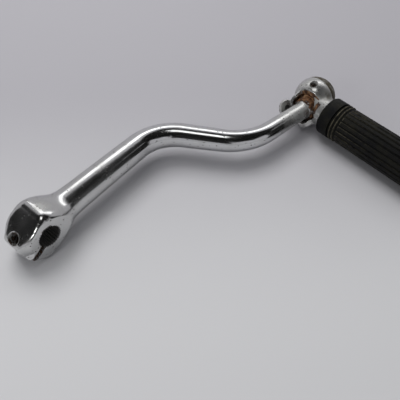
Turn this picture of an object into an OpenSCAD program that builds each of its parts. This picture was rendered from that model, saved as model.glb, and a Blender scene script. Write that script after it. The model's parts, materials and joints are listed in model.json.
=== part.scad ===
// Folding kick start lever of a motorcycle, lying on its side. Millimetres.
// Origin: middle of the splined bore. +X runs up the arm, +Y leaves the bore
// towards the engine, and +Z is up off the bench.

/* [Splined bore] */
// Radius over the crests of the serrations
bore_r = 7.1; // [6:0.1:7.6]
// Depth of each serration below its crest
serration_depth = 0.9; // [0.4:0.1:1.2]
// Number of serrations round the bore
serration_count = 28; // [20:2:36]
// Chamfer at each mouth of the bore
bore_chamfer = 0.6; // [0.2:0.1:1]

/* [Clamp boss] */
// Reach of the boss outboard of the arm's centre
boss_out = 13.7; // [12:0.1:16]
// Reach of the boss inboard of the arm's centre
boss_in = 10.4; // [9:0.1:13]
// Radius of the boss round its middle
boss_mid_r = 15; // [14.4:0.1:16]
// Radius of the boss's two end faces
boss_end_r = 10.9; // [10.3:0.1:12]
// Length of the rounding from an end face to the middle
shoulder_len = 5.6; // [4.6:0.1:7]
// Direction of the clamp slot, from the arm and round towards +Z
slot_angle = 217; // [200:1:230]
// Width of the clamp slot
slot_w = 3.7; // [2:0.1:4]
// Distance of each bolt flat from the slot's middle
flat_off = 12.2; // [11.5:0.1:13]
// How far the clamp lug reaches from the bore's axis
lug_reach = 18.4; // [17.4:0.1:19]
// Width of the clamp lug along the bore, at its outer edge
lug_w = 14; // [12:0.1:16]
// Radius of the lug's flanks, next to the boss's end faces
flank_r = 11.8; // [11.4:0.1:13]

/* [Pinch bolt hole] */
// Distance of the bolt's axis from the bore's axis
bolt_off = 10.9; // [10.5:0.1:11.5]
// Radius of the tapped hole, in the upper ear
tap_r = 3.4; // [2.5:0.1:3.6]
// Radius of the clear hole, in the lower ear
clear_r = 4.2; // [3.6:0.1:4.4]
// Depth of the chamfer at the tapped hole's mouth
tap_chamfer = 0.8; // [0.3:0.1:1.2]
// Radius of the seat faced for the bolt's head, in the lower ear
seat_face_r = 7.2; // [6.8:0.1:7.6]

/* [Arm] */
// Distance from the bore to the knuckle, along X
knuckle_x = 208; // [195:0.2:225]
// Distance from the bore to the knuckle, outboard along -Y
knuckle_y = 62.6; // [56:0.2:68]
// Drop of the knuckle below the bore, along -Z
knuckle_drop = 1.8; // [0:0.1:3]
// Lean of the arm's end and of the pedal, from square
lean = 8.1; // [4:0.1:12]
// Where the lower leg and the slanting leg would cross, along X
corner1_x = 104.5; // [100:0.5:110]
// The same point, inboard along +Y
corner1_y = 3; // [1:0.2:6]
// Where the slanting leg and the end leg would cross, along X
corner2_x = 138.3; // [134:0.1:142]
// Bend radius where the arm first turns outboard
bend1_r = 32; // [24:1:38]
// Bend radius where the arm turns back
bend2_r = 40; // [32:1:46]
// Half depth of the arm next to the boss, along Z
root_h = 9.4; // [8.6:0.1:10.4]
// Half width of the arm next to the boss, along the bore
root_w = 9.2; // [8.4:0.1:10]
// Extra half width where the arm flares into the boss
flare_w = 2.1; // [1:0.1:2.2]
// Half depth of the arm at its bends
bend_h = 8.4; // [7.6:0.1:9]
// Half width of the arm at its bends
bend_w = 8.4; // [7.4:0.1:9]
// Radius of the arm's neck, below the knuckle
neck_r = 6.4; // [6:0.1:6.8]
// Squareness of the arm's section next to the boss; 2 is an ellipse
root_squareness = 2.7; // [2:0.1:3.4]
// Squareness of the arm's section at its bends
bend_squareness = 2.3; // [2:0.1:3]

/* [Knuckle] */
// Radius of the knuckle's ball
ball_r = 14.8; // [14.2:0.1:16]
// Distance of the ball's middle inboard of the spigot's axis
ball_in = 2.9; // [2:0.1:3.2]
// Distance of the ball's middle above the spigot's axis
ball_up = 1.8; // [1:0.1:2.4]
// Distance from the ball's middle to its flat face
face_off = 9; // [8.4:0.1:10]
// Radius of the spigot that the knuckle turns on
spigot_r = 5; // [4.6:0.1:5.4]
// Distance from the ball's middle to the spigot's tip
spigot_tip = 9; // [8:0.1:10]
// Running clearance of the spigot in its bore
spigot_fit = 0.05; // [0.02:0.01:0.1]
// Radius of the arm's shoulder below the washer
shoulder_stop_r = 8.2; // [7.6:0.1:8.6]
// Length of the arm's shoulder
shoulder_stop_len = 4.6; // [3:0.1:6]
// Thickness of the thrust washer
washer_t = 1.4; // [1:0.1:1.8]
// Radius of the thrust washer
washer_r = 8.7; // [8.4:0.1:9.2]

/* [Knuckle skirt] */
// Inner radius of the skirt
skirt_in_r = 10.2; // [9.8:0.1:10.6]
// Radius of the skirt where it leaves the ball
skirt_root_r = 14; // [13.4:0.1:14.2]
// Radius of the skirt at its end
skirt_tip_r = 12.4; // [12:0.1:13]
// Distance from the ball's middle to the end of the skirt
skirt_end = 16; // [15:0.1:18]
// Distance from the ball's middle to the tip of the inboard ear
ear_end = 30.5; // [26:0.5:32]
// Width of the inboard ear, round the arm
ear_w = 12.5; // [8:0.1:13]
// Direction of the inboard ear round the arm, from straight down
ear_turn = 62; // [50:1:130]
// Distance from the ball's middle to the tip of the outboard ear
lip_end = 21.5; // [19.5:0.5:23]
// Width of the outboard ear, round the arm
lip_w = 8; // [6:0.1:10]
// Direction of the outboard ear round the arm, from straight down
lip_turn = -52; // [-60:1:-45]
// How far the skirt goes round the arm, from next to the outboard ear
skirt_sweep = 190; // [180:1:200]

/* [Retaining pin and detent] */
// Distance of the pin from the ball's middle, towards the arm
pin_off = 4.6; // [4:0.1:5.2]
// Radius of the slotted retaining pin
pin_r = 2; // [1.7:0.05:2.2]
// Bore of the slotted retaining pin
pin_bore_r = 1.1; // [0.8:0.05:1.2]
// Depth of the pin's head below the ball's surface
pin_recess = 1.6; // [0.8:0.1:2.4]
// Depth of the spigot's groove
groove_depth = 1.3; // [1:0.1:1.6]
// Distance of the detent from the ball's middle, away from the arm
detent_off = 4.5; // [4:0.1:5]
// Radius of the detent ball
detent_r = 1.95; // [1.6:0.05:2.1]
// How far the detent ball stands out of the spigot
detent_out = 0.95; // [0.6:0.05:1.2]
// Radius of the detent spring's wire
wire_r = 0.3; // [0.2:0.05:0.35]
// Turns of the detent spring
spring_turns = 4; // [3:1:5]

/* [Pedal] */
// Distance of the pedal's axis from the ball's middle, towards the arm
pedal_off = 6; // [4:0.5:7]
// Radius of the pedal's rod
rod_r = 6.8; // [6:0.1:7.5]
// Radius of the seat that the grip butts against
seat_r = 10.6; // [9.5:0.1:11.5]
// Radius of the head at the rod's far end
head_r = 8.8; // [8:0.1:9.5]
// Thickness of the head at the rod's far end
head_t = 4; // [3:0.1:5]

/* [Rubber grip] */
// Distance from the knuckle's axis to the near end of the grip
grip_start = 15.4; // [15:0.1:18]
// Length of the grip
grip_len = 86; // [75:1:100]
// Radius of the grip over its ribs
grip_r = 13.2; // [12.4:0.1:14]
// Radius of the plain collar at the near end
collar_r = 13.7; // [13.2:0.1:15]
// Length of the plain collar
collar_len = 9.5; // [8:0.1:12]
// Radius of the flange at the far end
flange_r = 15; // [14:0.1:17]
// Thickness of the flange at the far end
flange_t = 5; // [4:0.1:7]
// Number of ribs round the grip
rib_count = 22; // [16:2:28]
// Depth of the grooves between the ribs
rib_depth = 1; // [0.6:0.1:1.4]
// Width of the grooves between the ribs
rib_gap = 1.5; // [1:0.1:1.8]

/* [Hidden] */
$fn = 64;
chrome = [0.78, 0.79, 0.80];
rubber = [0.09, 0.09, 0.08];
rust = [0.42, 0.24, 0.13];
steel = [0.55, 0.55, 0.56];
over = 1; // how far a cutting shape runs past what it cuts
snug = 0.1; // clearance of what sits still in its hole
loose = 0.3; // clearance of what moves past another piece
swing = 90; // how far the pedal folds up

boss_len = boss_out + boss_in;
boss_mid = (boss_out - boss_in) / 2; // middle of the boss, outboard of the arm's centre
shoulder_drop = boss_mid_r - boss_end_r;
shoulder_arc = (pow(shoulder_len, 2) + pow(shoulder_drop, 2)) / (2 * shoulder_drop);
stop_x = -(face_off + washer_t + snug); // face of the arm's shoulder
detent_floor = 2.8; // height of the blind end of the detent's hole
detent_z = -(spigot_r + detent_out - detent_r); // middle of the detent ball

// centre line of the arm, seen along -Z: three legs, joined by two bends
knuckle = [knuckle_x, -knuckle_y];
corner1 = [corner1_x, corner1_y];
corner2 = [corner2_x, -knuckle_y + (knuckle_x - corner2_x) * tan(lean)];
// the arm's sections start beyond the serrations and inside the boss
root = [bore_r + serration_depth + 1.4, -2.2];
neck_end = knuckle - (face_off + washer_t + 2) * [cos(lean), -sin(lean)];

function unit(v) = v / norm(v);
function bend(a, b, c, r, n) =
    let (back = unit(a - b), on = unit(c - b),
         half = acos(unit(b - a) * on) / 2,
         middle = b + unit(back + on) * (r / cos(half)),
         spoke = b + back * r * tan(half) - middle,
         way = sign((b - a)[0] * (c - b)[1] - (b - a)[1] * (c - b)[0]))
    [for (i = [0 : n]) middle + spin(spoke, way * 2 * half * i / n)];
function spin(v, t) = [v[0] * cos(t) - v[1] * sin(t), v[0] * sin(t) + v[1] * cos(t)];
function between(a, b, n) = [for (i = [1 : n - 1]) a + (b - a) * i / n];

leg_steps = 11;
bend_steps = 8;
arc1 = bend(root, corner1, corner2, bend1_r, bend_steps);
arc2 = bend(corner1, corner2, knuckle, bend2_r, bend_steps);
path = concat([root], between(root, arc1[0], leg_steps), arc1, between(arc1[bend_steps], arc2[0], 3),
              arc2, between(arc2[bend_steps], neck_end, 3), [neck_end]);
last = len(path) - 1;
function heading(i) = unit(path[min(i + 1, last)] - path[max(i - 1, 0)]);
function run(i) = i == 0 ? 0 : run(i - 1) + norm(path[i] - path[i - 1]);
runs = [for (i = [0 : last]) run(i)];

// half depth and half width of the arm, from its root to its neck
flare_len = 11;
bend_run = runs[leg_steps + bend_steps / 2];
function ease(t) = t * t * (3 - 2 * t);
function taper(from, mid, to, s) =
    s < bend_run ? from + (mid - from) * s / bend_run
                 : mid + (to - mid) * ease((s - bend_run) / (runs[last] - bend_run));
function half_h(s) = taper(root_h, bend_h, neck_r, s);
function half_w(s) = taper(root_w, bend_w, neck_r, s) + flare_w * exp(-pow(s / flare_len, 2));
function squareness(s) = taper(root_squareness, bend_squareness, 2, s);
section_sides = 28;
function rounded(c, e) = sign(c) * pow(abs(c), 2 / e);
function section(i) =
    let (s = runs[i], on = heading(i), e = squareness(s))
    [for (k = [0 : section_sides - 1])
        let (a = -360 * (k + 0.5) / section_sides,
             side = half_w(s) * rounded(cos(a), e), rise = half_h(s) * rounded(sin(a), e))
        [path[i][0] - on[1] * side, path[i][1] + on[0] * side, rise - knuckle_drop * ease(s / runs[last])]];

// a closed tube over rings of points, with flat ends
module tube_over(rings) {
    n = len(rings[0]);
    m = len(rings);
    sides = [for (i = [0 : m - 2], k = [0 : n - 1])
        [i * n + k, i * n + (k + 1) % n, (i + 1) * n + (k + 1) % n, (i + 1) * n + k]];
    first = [for (k = [0 : n - 1]) n - 1 - k];
    end = [for (k = [0 : n - 1]) (m - 1) * n + k];
    polyhedron([for (r = rings, p = r) p], concat(sides, [first, end]), convexity = 4);
}

// the boss's own frame: Z of the child runs outboard along the bore, from the boss's middle
module along_bore() translate([0, -boss_mid, 0]) rotate([90, 0, 0]) children();

// the bolt's frame: X of the child follows the slot, Z leaves the lower ear
module at_bolt() rotate([0, -slot_angle, 0]) translate([bolt_off, 0, 0]) children();

// the knuckle's frame: X runs on along the arm, -Y along the pedal
module at_knuckle() translate([knuckle_x, -knuckle_y, -knuckle_drop]) rotate([0, 0, -lean]) children();

// a turned shape about the arm's end; angle 0 is down, 90 is inboard, 180 is up
module turned(start, sweep) rotate([0, 90, 0]) rotate([0, 0, start]) rotate_extrude(angle = sweep) children();

// a turned shape on the arm's end, which starts at x and runs on along the arm
module from_arm(x) translate([x, 0, 0]) rotate([0, 90, 0]) children();

// the pedal's frame: Z runs out along the rod, from the knuckle's axis
module at_pedal() at_knuckle() translate([-pedal_off, 0, 0]) rotate([90, 0, 0]) children();

module barrel() {
    core_r = boss_mid_r - shoulder_arc;
    straight = boss_len - 2 * shoulder_len;
    along_bore() rotate_extrude($fn = 96) intersection() {
        translate([0, -boss_len / 2]) square([boss_mid_r, boss_len]);
        union() {
            translate([0, -boss_len / 2]) square([core_r, boss_len]);
            translate([0, -straight / 2]) square([boss_mid_r, straight]);
            for (end = [-1, 1]) translate([core_r, end * straight / 2]) circle(shoulder_arc, $fn = 96);
        }
    }
}

module lug() {
    edge = lug_w / 2;
    side = boss_len / 2 - 0.5;
    intersection() {
        along_bore() rotate_extrude($fn = 96)
            polygon([[0, -side], [flank_r, -side], [lug_reach, -edge],
                     [lug_reach, edge], [flank_r, side], [0, side]]);
        along_bore() linear_extrude(boss_len, center = true) rotate(slot_angle)
            translate([0, -lug_reach]) square([lug_reach + over, 2 * lug_reach]);
    }
}

// the boss: a turned barrel and its lug, milled flat where the bolt goes through
module boss() {
    cut = 3 * lug_reach;
    intersection() {
        union() {
            barrel();
            intersection() {
                lug();
                along_bore() linear_extrude(cut, center = true) rotate(slot_angle)
                    translate([0, -cut]) square([cut, cut + flat_off]);
            }
        }
        along_bore() linear_extrude(cut, center = true) rotate(slot_angle)
            translate([-cut / 2, -flat_off]) square(cut);
    }
}

module splined_bore() {
    pitch = 360 / serration_count;
    root_r = bore_r + serration_depth;
    inner_r = bore_r - 0.3; // each groove starts inside the bore
    mouth = bore_r * sin(pitch * 0.27); // half a groove's width at the bore
    floor = root_r * sin(pitch * 0.1); // and at its root
    along_bore() {
        linear_extrude(boss_len + over, center = true) {
            circle(bore_r, $fn = 96);
            for (i = [0 : serration_count - 1]) rotate(i * pitch)
                polygon([[inner_r, -mouth], [root_r, -floor], [root_r, floor], [inner_r, mouth]]);
        }
        for (end = [-1, 1]) translate([0, 0, end * boss_len / 2]) rotate([end > 0 ? 0 : 180, 0, 0])
            translate([0, 0, -bore_chamfer]) cylinder(bore_chamfer + over, root_r, root_r + bore_chamfer + over);
    }
}

module clamp_slot() {
    along_bore() linear_extrude(boss_len + over, center = true) rotate(slot_angle)
        translate([0, -slot_w / 2]) square([lug_reach + over, slot_w]);
}

module bolt_hole() {
    at_bolt() {
        cylinder(lug_reach + over, r = clear_r);
        translate([0, 0, flat_off]) cylinder(lug_reach, r = seat_face_r);
        translate([0, 0, -flat_off - over]) cylinder(flat_off + over, r = tap_r);
        translate([0, 0, -flat_off - over])
            cylinder(tap_chamfer + over, tap_r + tap_chamfer + over, tap_r);
    }
}

// the turned end of the arm: shoulder, spigot, pin groove and detent hole
module arm_end() {
    first = 45; // where the folded pin's flank clears the groove's end wall
    sweep = 126; // and round to where the pin stands with the pedal out
    difference() {
        union() {
            from_arm(stop_x - shoulder_stop_len) cylinder(shoulder_stop_len, r = shoulder_stop_r);
            from_arm(stop_x - over) cylinder(spigot_tip - stop_x + over, r = spigot_r);
        }
        turned(first, sweep)
            translate([spigot_r - groove_depth, -pin_off - pin_r - loose])
                square([groove_depth + over, 2 * (pin_r + loose)]);
        translate([detent_off, 0, -spigot_r - over]) cylinder(spigot_r + over + detent_floor, r = detent_r + snug);
    }
}

module kick_arm() {
    color(chrome) difference() {
        boss();
        splined_bore();
        clamp_slot();
        bolt_hole();
    }
    color(chrome) {
        tube_over([for (i = [0 : last]) section(i)]);
        at_knuckle() arm_end();
    }
}

// the wall round the knuckle's mouth, thinner towards its end and rooted in the ball
module skirt_wall(start, sweep, reach) {
    root_x = -5;
    base_x = 2;
    turned(start, sweep)
        polygon([[skirt_in_r, -reach], [skirt_tip_r, -reach], [skirt_tip_r, -skirt_end], [skirt_root_r, root_x],
                 [skirt_in_r, base_x], [spigot_r + 1, base_x], [spigot_r + 1, -face_off], [skirt_in_r, -face_off]]);
}

// an ear of the skirt: a strip of its wall with a round tip
module ear(direction, reach, width) {
    intersection() {
        skirt_wall(direction - 60, 120, ear_end + over);
        rotate([direction + 90, 0, 0]) rotate([90, 0, 0]) linear_extrude(2 * ball_r) {
            translate([-reach + width / 2, 0]) circle(width / 2);
            translate([-reach + width / 2, -width / 2]) square([reach - width / 2 - 6, width]);
        }
    }
}

module pedal() {
    reach = grip_start + grip_len - flange_t;
    bore = spigot_r + spigot_fit;
    color(chrome) difference() {
        union() {
            at_knuckle() {
                difference() {
                    translate([0, ball_in, ball_up]) sphere(ball_r, $fn = 96);
                    from_arm(-2 * ball_r) cylinder(2 * ball_r - face_off, r = 2 * ball_r);
                }
                skirt_wall(lip_turn - 3, skirt_sweep, skirt_end);
                ear(ear_turn, ear_end, ear_w);
                ear(lip_turn, lip_end, lip_w);
            }
            at_pedal() {
                cylinder(reach, r = rod_r);
                cylinder(grip_start - snug, r = seat_r);
                translate([0, 0, reach - head_t]) cylinder(head_t, r = head_r);
            }
        }
        at_knuckle() {
            from_arm(-face_off - over) cylinder(face_off + over + spigot_tip + loose, r = bore);
            from_arm(-3 * ball_r) cylinder(3 * ball_r - face_off, r = skirt_in_r);
            translate([-pin_off, ball_in, 0]) cylinder(2 * ball_r, r = pin_r + snug / 2);
            turned(0, swing) translate([-detent_z, detent_off]) circle(detent_r + snug);
            for (t = [0, swing]) rotate([t, 0, 0])
                translate([detent_off, 0, detent_z]) sphere(detent_r + snug);
        }
    }
}

module grip_rubber() {
    ribs_start = grip_start + collar_len;
    ribs_len = grip_len - collar_len - flange_t;
    head_z = grip_start + grip_len - flange_t - head_t;
    lip = 1.6;
    color(rubber) at_pedal() difference() {
        union() {
            translate([0, 0, grip_start]) rotate_extrude($fn = 96)
                polygon([[0, 0], [collar_r - lip, 0], [collar_r, lip], [collar_r, collar_len - lip],
                         [grip_r - rib_depth, collar_len], [0, collar_len]]);
            translate([0, 0, ribs_start]) linear_extrude(ribs_len) difference() {
                circle(grip_r, $fn = 96);
                for (i = [0 : rib_count - 1]) rotate(i * 360 / rib_count)
                    translate([grip_r - rib_depth, -rib_gap / 2]) square([rib_depth + over, rib_gap]);
            }
            translate([0, 0, ribs_start + ribs_len]) rotate_extrude($fn = 96)
                polygon([[0, 0], [grip_r, 0], [flange_r, lip], [flange_r, flange_t - lip],
                         [flange_r - lip, flange_t], [0, flange_t]]);
        }
        translate([0, 0, grip_start - over]) cylinder(grip_len, r = rod_r + snug);
        translate([0, 0, head_z - snug]) cylinder(head_t + 2 * snug, r = head_r + snug);
    }
}

module thrust_washer() {
    color(rust) at_knuckle() from_arm(stop_x + snug / 2) difference() {
        cylinder(washer_t, r = washer_r);
        translate([0, 0, -over]) cylinder(washer_t + 2 * over, r = spigot_r + snug);
    }
}

module retaining_pin() {
    foot = spigot_r - groove_depth + snug;
    head = ball_up + sqrt(pow(ball_r, 2) - pow(pin_off, 2)) - pin_recess;
    slit = 0.7;
    color(steel) at_knuckle() translate([-pin_off, ball_in, foot]) difference() {
        cylinder(head - foot, r = pin_r);
        translate([0, 0, -over]) cylinder(head - foot + 2 * over, r = pin_bore_r);
        translate([0, -slit / 2, -over]) cube([2 * pin_r, slit, head - foot + 2 * over]);
    }
}

module detent_ball() {
    color(steel) at_knuckle() translate([detent_off, 0, detent_z]) sphere(detent_r, $fn = 48);
}

module detent_spring() {
    coil_r = detent_r - wire_r - snug;
    bottom = detent_z + sqrt(pow(detent_r, 2) - pow(coil_r, 2)) + wire_r + 2 * snug;
    top = detent_floor - wire_r - snug;
    steps = spring_turns * 14;
    color(steel) at_knuckle() translate([detent_off, 0, 0]) tube_over([for (i = [0 : steps])
        let (a = 360 * spring_turns * i / steps, z = bottom + (top - bottom) * i / steps)
        [for (k = [0 : 7]) let (b = -45 * k, r = coil_r + wire_r * cos(b))
            [r * cos(a), r * sin(a), z + wire_r * sin(b)]]]);
}

kick_arm();
pedal();
grip_rubber();
thrust_washer();
retaining_pin();
detent_ball();
detent_spring();
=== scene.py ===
import bpy, bmesh, json, math, time
import numpy as np
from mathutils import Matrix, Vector


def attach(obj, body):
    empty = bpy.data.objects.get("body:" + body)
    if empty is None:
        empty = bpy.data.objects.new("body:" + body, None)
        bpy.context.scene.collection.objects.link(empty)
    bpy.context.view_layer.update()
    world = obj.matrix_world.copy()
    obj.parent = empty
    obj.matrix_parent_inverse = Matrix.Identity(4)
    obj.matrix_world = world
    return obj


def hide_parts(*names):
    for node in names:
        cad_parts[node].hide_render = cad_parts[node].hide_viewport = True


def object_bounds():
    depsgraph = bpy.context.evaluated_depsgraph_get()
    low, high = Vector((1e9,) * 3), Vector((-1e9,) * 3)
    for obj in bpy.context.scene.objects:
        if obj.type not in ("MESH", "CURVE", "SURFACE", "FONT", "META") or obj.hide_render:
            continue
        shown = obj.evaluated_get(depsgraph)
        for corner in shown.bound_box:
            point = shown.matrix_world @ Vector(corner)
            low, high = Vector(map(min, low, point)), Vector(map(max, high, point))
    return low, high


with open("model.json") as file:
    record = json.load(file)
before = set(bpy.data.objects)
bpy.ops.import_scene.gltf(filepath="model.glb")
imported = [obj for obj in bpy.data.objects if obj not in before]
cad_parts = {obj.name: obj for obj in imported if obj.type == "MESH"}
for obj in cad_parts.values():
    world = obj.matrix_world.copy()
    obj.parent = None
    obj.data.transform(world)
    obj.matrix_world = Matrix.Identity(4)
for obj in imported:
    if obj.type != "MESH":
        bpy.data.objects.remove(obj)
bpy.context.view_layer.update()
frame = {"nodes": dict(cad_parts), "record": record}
startTime = time.time()
mm = 0.001     # shapes are worked out in millimetres


def say(stage):
    print("stage:", stage, round(time.time() - startTime, 1), "s")


def linked(obj):
    bpy.context.scene.collection.objects.link(obj)
    return obj


# camera, first, so that every piece can be judged in the photo's frame
view = {
    "eye": (-70.4, -190.1, 235.2),   # mm, fitted to the bore, the ball and the grip
    "lookAt": (77.8, -61.0, 0.0),
    "lens": 44.96,
    "sensor": 36,
    "clip": (0.01, 20),
}


def makeCamera():
    data = bpy.data.cameras.new("photoCamera")
    data.lens = view["lens"]
    data.sensor_width = view["sensor"]
    data.clip_start, data.clip_end = view["clip"]
    cam = linked(bpy.data.objects.new("photoCamera", data))
    eye = Vector(view["eye"]) * mm
    cam.location = eye
    cam.rotation_euler = (Vector(view["lookAt"]) * mm - eye).to_track_quat("-Z", "Y").to_euler()
    bpy.context.scene.camera = cam


makeCamera()
bpy.context.scene.view_settings.view_transform = "Standard"


# small makers for node trees
def plug(tree, node, sources):
    # a source is another node's output, or a constant for the socket itself
    for socket, source in sources.items():
        if isinstance(source, bpy.types.NodeSocket):
            tree.links.new(source, node.inputs[socket])
        else:
            node.inputs[socket].default_value = source


def add(tree, kind, sources=None, **values):
    node = tree.nodes.new(kind)
    for key, value in values.items():
        setattr(node, key, value)
    plug(tree, node, sources or {})
    return node


def newMaterial(name):
    mat = bpy.data.materials.new(name)
    mat.use_nodes = True
    tree = mat.node_tree
    tree.nodes.clear()
    skin = add(tree, "ShaderNodeBsdfPrincipled")
    add(tree, "ShaderNodeOutputMaterial", {0: skin.outputs[0]})
    return mat, tree, skin


def objectCoords(tree):
    return add(tree, "ShaderNodeTexCoord").outputs["Object"]


def attribute(tree, name):
    return add(tree, "ShaderNodeAttribute", attribute_name=name).outputs["Fac"]


def noise(tree, coords, scale, detail=3.0, rough=0.55):
    sources = {"Vector": coords, "Scale": scale, "Detail": detail, "Roughness": rough}
    return add(tree, "ShaderNodeTexNoise", sources).outputs["Fac"]


def span(tree, value, low, high, toLow=0.0, toHigh=1.0, kind="LINEAR"):
    sources = {"Value": value, "From Min": low, "From Max": high, "To Min": toLow, "To Max": toHigh}
    return add(tree, "ShaderNodeMapRange", sources, interpolation_type=kind).outputs["Result"]


def maths(tree, kind, *sources):
    return add(tree, "ShaderNodeMath", dict(enumerate(sources)), operation=kind).outputs[0]


def times(tree, a, b):
    return maths(tree, "MULTIPLY", a, b)


def plus(tree, a, b):
    return maths(tree, "ADD", a, b)


def most(tree, first, *others):
    for other in others:
        first = maths(tree, "MAXIMUM", first, other)
    return first


def blend(tree, share, first, second):
    return add(tree, "ShaderNodeMix", {0: share, 6: first, 7: second}, data_type="RGBA").outputs[2]


def bump(tree, height, strength, distance):
    sources = {"Height": height, "Strength": strength, "Distance": distance}
    return add(tree, "ShaderNodeBump", sources).outputs["Normal"]


rustFinish = {
    "dark": (0.030, 0.014, 0.009, 1),
    "mid": (0.165, 0.075, 0.030, 1),
    "pale": (0.36, 0.25, 0.15, 1),
    "scale": 330,
}


def rustColours(tree, where, paleFrom):
    cloud = noise(tree, where, rustFinish["scale"], 5)
    colour = blend(tree, span(tree, cloud, 0.36, 0.52), rustFinish["dark"], rustFinish["mid"])
    return blend(tree, span(tree, cloud, 0.52, paleFrom), colour, rustFinish["pale"]), cloud


def rustMaterial():
    mat, tree, skin = newMaterial("rustedSteel")
    colour, cloud = rustColours(tree, objectCoords(tree), 0.7)
    plug(tree, skin, {"Base Color": colour, "Roughness": span(tree, cloud, 0.3, 0.7, 0.55, 0.85),
                      "Normal": bump(tree, cloud, 0.5, 0.0003)})
    return mat


chromeFinish = {
    "plate": (0.64, 0.645, 0.65, 1),
    "haze": (0.50, 0.50, 0.485, 1),
    "dull": (0.50, 0.50, 0.485, 1),
    "pit": (0.045, 0.038, 0.03, 1),
    "tarnish": (0.060, 0.050, 0.030, 1),
    # this dark colour is grime, and painted shade in the pedal ear's eye
    "grimeAndShade": (0.022, 0.017, 0.012, 1),
    "smooth": 0.09, "worn": 0.20,               # roughness of the clean plate
    "dullRough": 0.13, "coverRough": 0.5,       # what dull plate and dirt or rust add to it
    "cloudScale": 60, "patchScale": 130, "fineScale": 900, "pitScale": 430,
    "rustEdgeScale": 420, "tarnishScale": 260,
    "bump": 0.25, "bumpDeep": 0.00012,
}


def chromeMaterial():
    # the mesh's own attributes say where it is rusted, tarnished or dull, and where it is grimy or carries
    # painted shade
    mat, tree, skin = newMaterial("wornChrome")
    finish = chromeFinish
    where = objectCoords(tree)
    cloud = noise(tree, where, finish["cloudScale"], 4)
    patch = noise(tree, where, finish["patchScale"])
    fine = noise(tree, where, finish["fineScale"])
    speck = add(tree, "ShaderNodeTexVoronoi", {"Vector": where, "Scale": finish["pitScale"]})
    pits = times(tree, span(tree, speck.outputs["Distance"], 0.23, 0.12), span(tree, patch, 0.40, 0.54))
    dull = times(tree, attribute(tree, "dull"), span(tree, patch, 0.3, 0.6, 0.6, 1.0))
    stains = span(tree, noise(tree, where, finish["tarnishScale"], 4), 0.25, 0.5, 0.55, 1.0)
    tarnish = times(tree, attribute(tree, "tarnish"), stains)
    # grime, and painted shade in the pedal ear's eye
    grimeAndShade = attribute(tree, "grimeAndShade")
    ragged = span(tree, noise(tree, where, finish["rustEdgeScale"], 5), 0.3, 0.7, -0.35, 0.35)
    rust = plus(tree, attribute(tree, "rust"), ragged)
    rusted = span(tree, rust, 0.42, 0.56)
    rustColour, rustCloud = rustColours(tree, where, 0.68)
    rustColour = blend(tree, span(tree, rust, 0.55, 0.85), rustFinish["dark"], rustColour)     # a dark rim

    colour = blend(tree, span(tree, cloud, 0.45, 0.75, 0.0, 0.55), finish["plate"], finish["haze"])
    layers = (
        (span(tree, dull, 0.0, 1.0), finish["dull"]), (pits, finish["pit"]), (tarnish, finish["tarnish"]),
        (rusted, rustColour), (grimeAndShade, finish["grimeAndShade"]),
    )
    for share, layer in layers:
        colour = blend(tree, share, colour, layer)
    cover = most(tree, rusted, grimeAndShade, times(tree, tarnish, 0.8), span(tree, dull, 0.55, 1.5, 0.0, 0.5))
    dirt = most(tree, rusted, times(tree, pits, 0.4), grimeAndShade, times(tree, tarnish, 0.7))
    rough = plus(tree, span(tree, cloud, 0.3, 0.8, finish["smooth"], finish["worn"]),
                 times(tree, dull, finish["dullRough"]))
    rough = plus(tree, span(tree, dirt, 0.0, 1.0, 0.0, finish["coverRough"]), rough)
    height = plus(tree, times(tree, fine, 0.06), times(tree, pits, -1.0))
    height = plus(tree, height, times(tree, rusted, times(tree, rustCloud, 3.0)))
    plug(tree, skin, {"Base Color": colour, "Metallic": span(tree, cover, 0.0, 1.0, 1.0, 0.15),
                      "Roughness": rough, "Normal": bump(tree, height, finish["bump"], finish["bumpDeep"])})
    return mat


rubberFinish = {
    "rubber": (0.0045, 0.0048, 0.0055, 1),
    "olive": (0.012, 0.0115, 0.008, 1),
    "dust": (0.125, 0.112, 0.080, 1),
    "roughness": (0.42, 0.75),
    "specular": 0.14,
    "cloudScale": 90, "scuffScale": 420, "grainScale": 1500,
}


def rubberMaterial():
    mat, tree, skin = newMaterial("wornRubber")
    finish = rubberFinish
    where = objectCoords(tree)
    cloud = noise(tree, where, finish["cloudScale"], 5)
    grain = noise(tree, where, finish["grainScale"])
    scuff = noise(tree, where, finish["scuffScale"], 5, 0.7)
    colour = blend(tree, span(tree, cloud, 0.4, 0.7), finish["rubber"], finish["olive"])
    dusty = times(tree, span(tree, scuff, 0.38, 0.62, 0.10, 1.0), attribute(tree, "dust"))
    plug(tree, skin, {"Base Color": blend(tree, dusty, colour, finish["dust"]),
                      "Roughness": span(tree, scuff, 0.3, 0.7, *finish["roughness"]),
                      "Specular IOR Level": finish["specular"], "Normal": bump(tree, grain, 0.3, 0.0002)})
    return mat


def steelMaterial(name, pale, dark, scale, rough):
    mat, tree, skin = newMaterial(name)
    cloud = noise(tree, objectCoords(tree), scale, 4)
    plug(tree, skin, {"Base Color": blend(tree, span(tree, cloud, 0.4, 0.65), dark, pale), "Metallic": 0.8,
                      "Roughness": span(tree, cloud, 0.3, 0.7, rough[1], rough[0]),
                      "Normal": bump(tree, cloud, 0.3, 0.0002)})
    return mat


wornChrome = chromeMaterial()
wornRubber = rubberMaterial()
rustedSteel = rustMaterial()
springSteel = steelMaterial("springSteel", (0.5, 0.49, 0.47, 1), (0.2, 0.17, 0.14, 1), 700, (0.3, 0.5))
pinSteel = steelMaterial("pinSteel", (0.10, 0.075, 0.06, 1), (0.03, 0.022, 0.018, 1), 900, (0.5, 0.8))
say("materials")


# forged shapes are distance fields in mm: below 0 inside, and skinned with quads
def softMin(a, b, k):
    h = np.clip(0.5 + 0.5 * (b - a) / k, 0, 1)
    return b + (a - b) * h - k * h * (1 - h)


def softMax(a, b, k):
    return -softMin(-a, -b, k)


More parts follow.
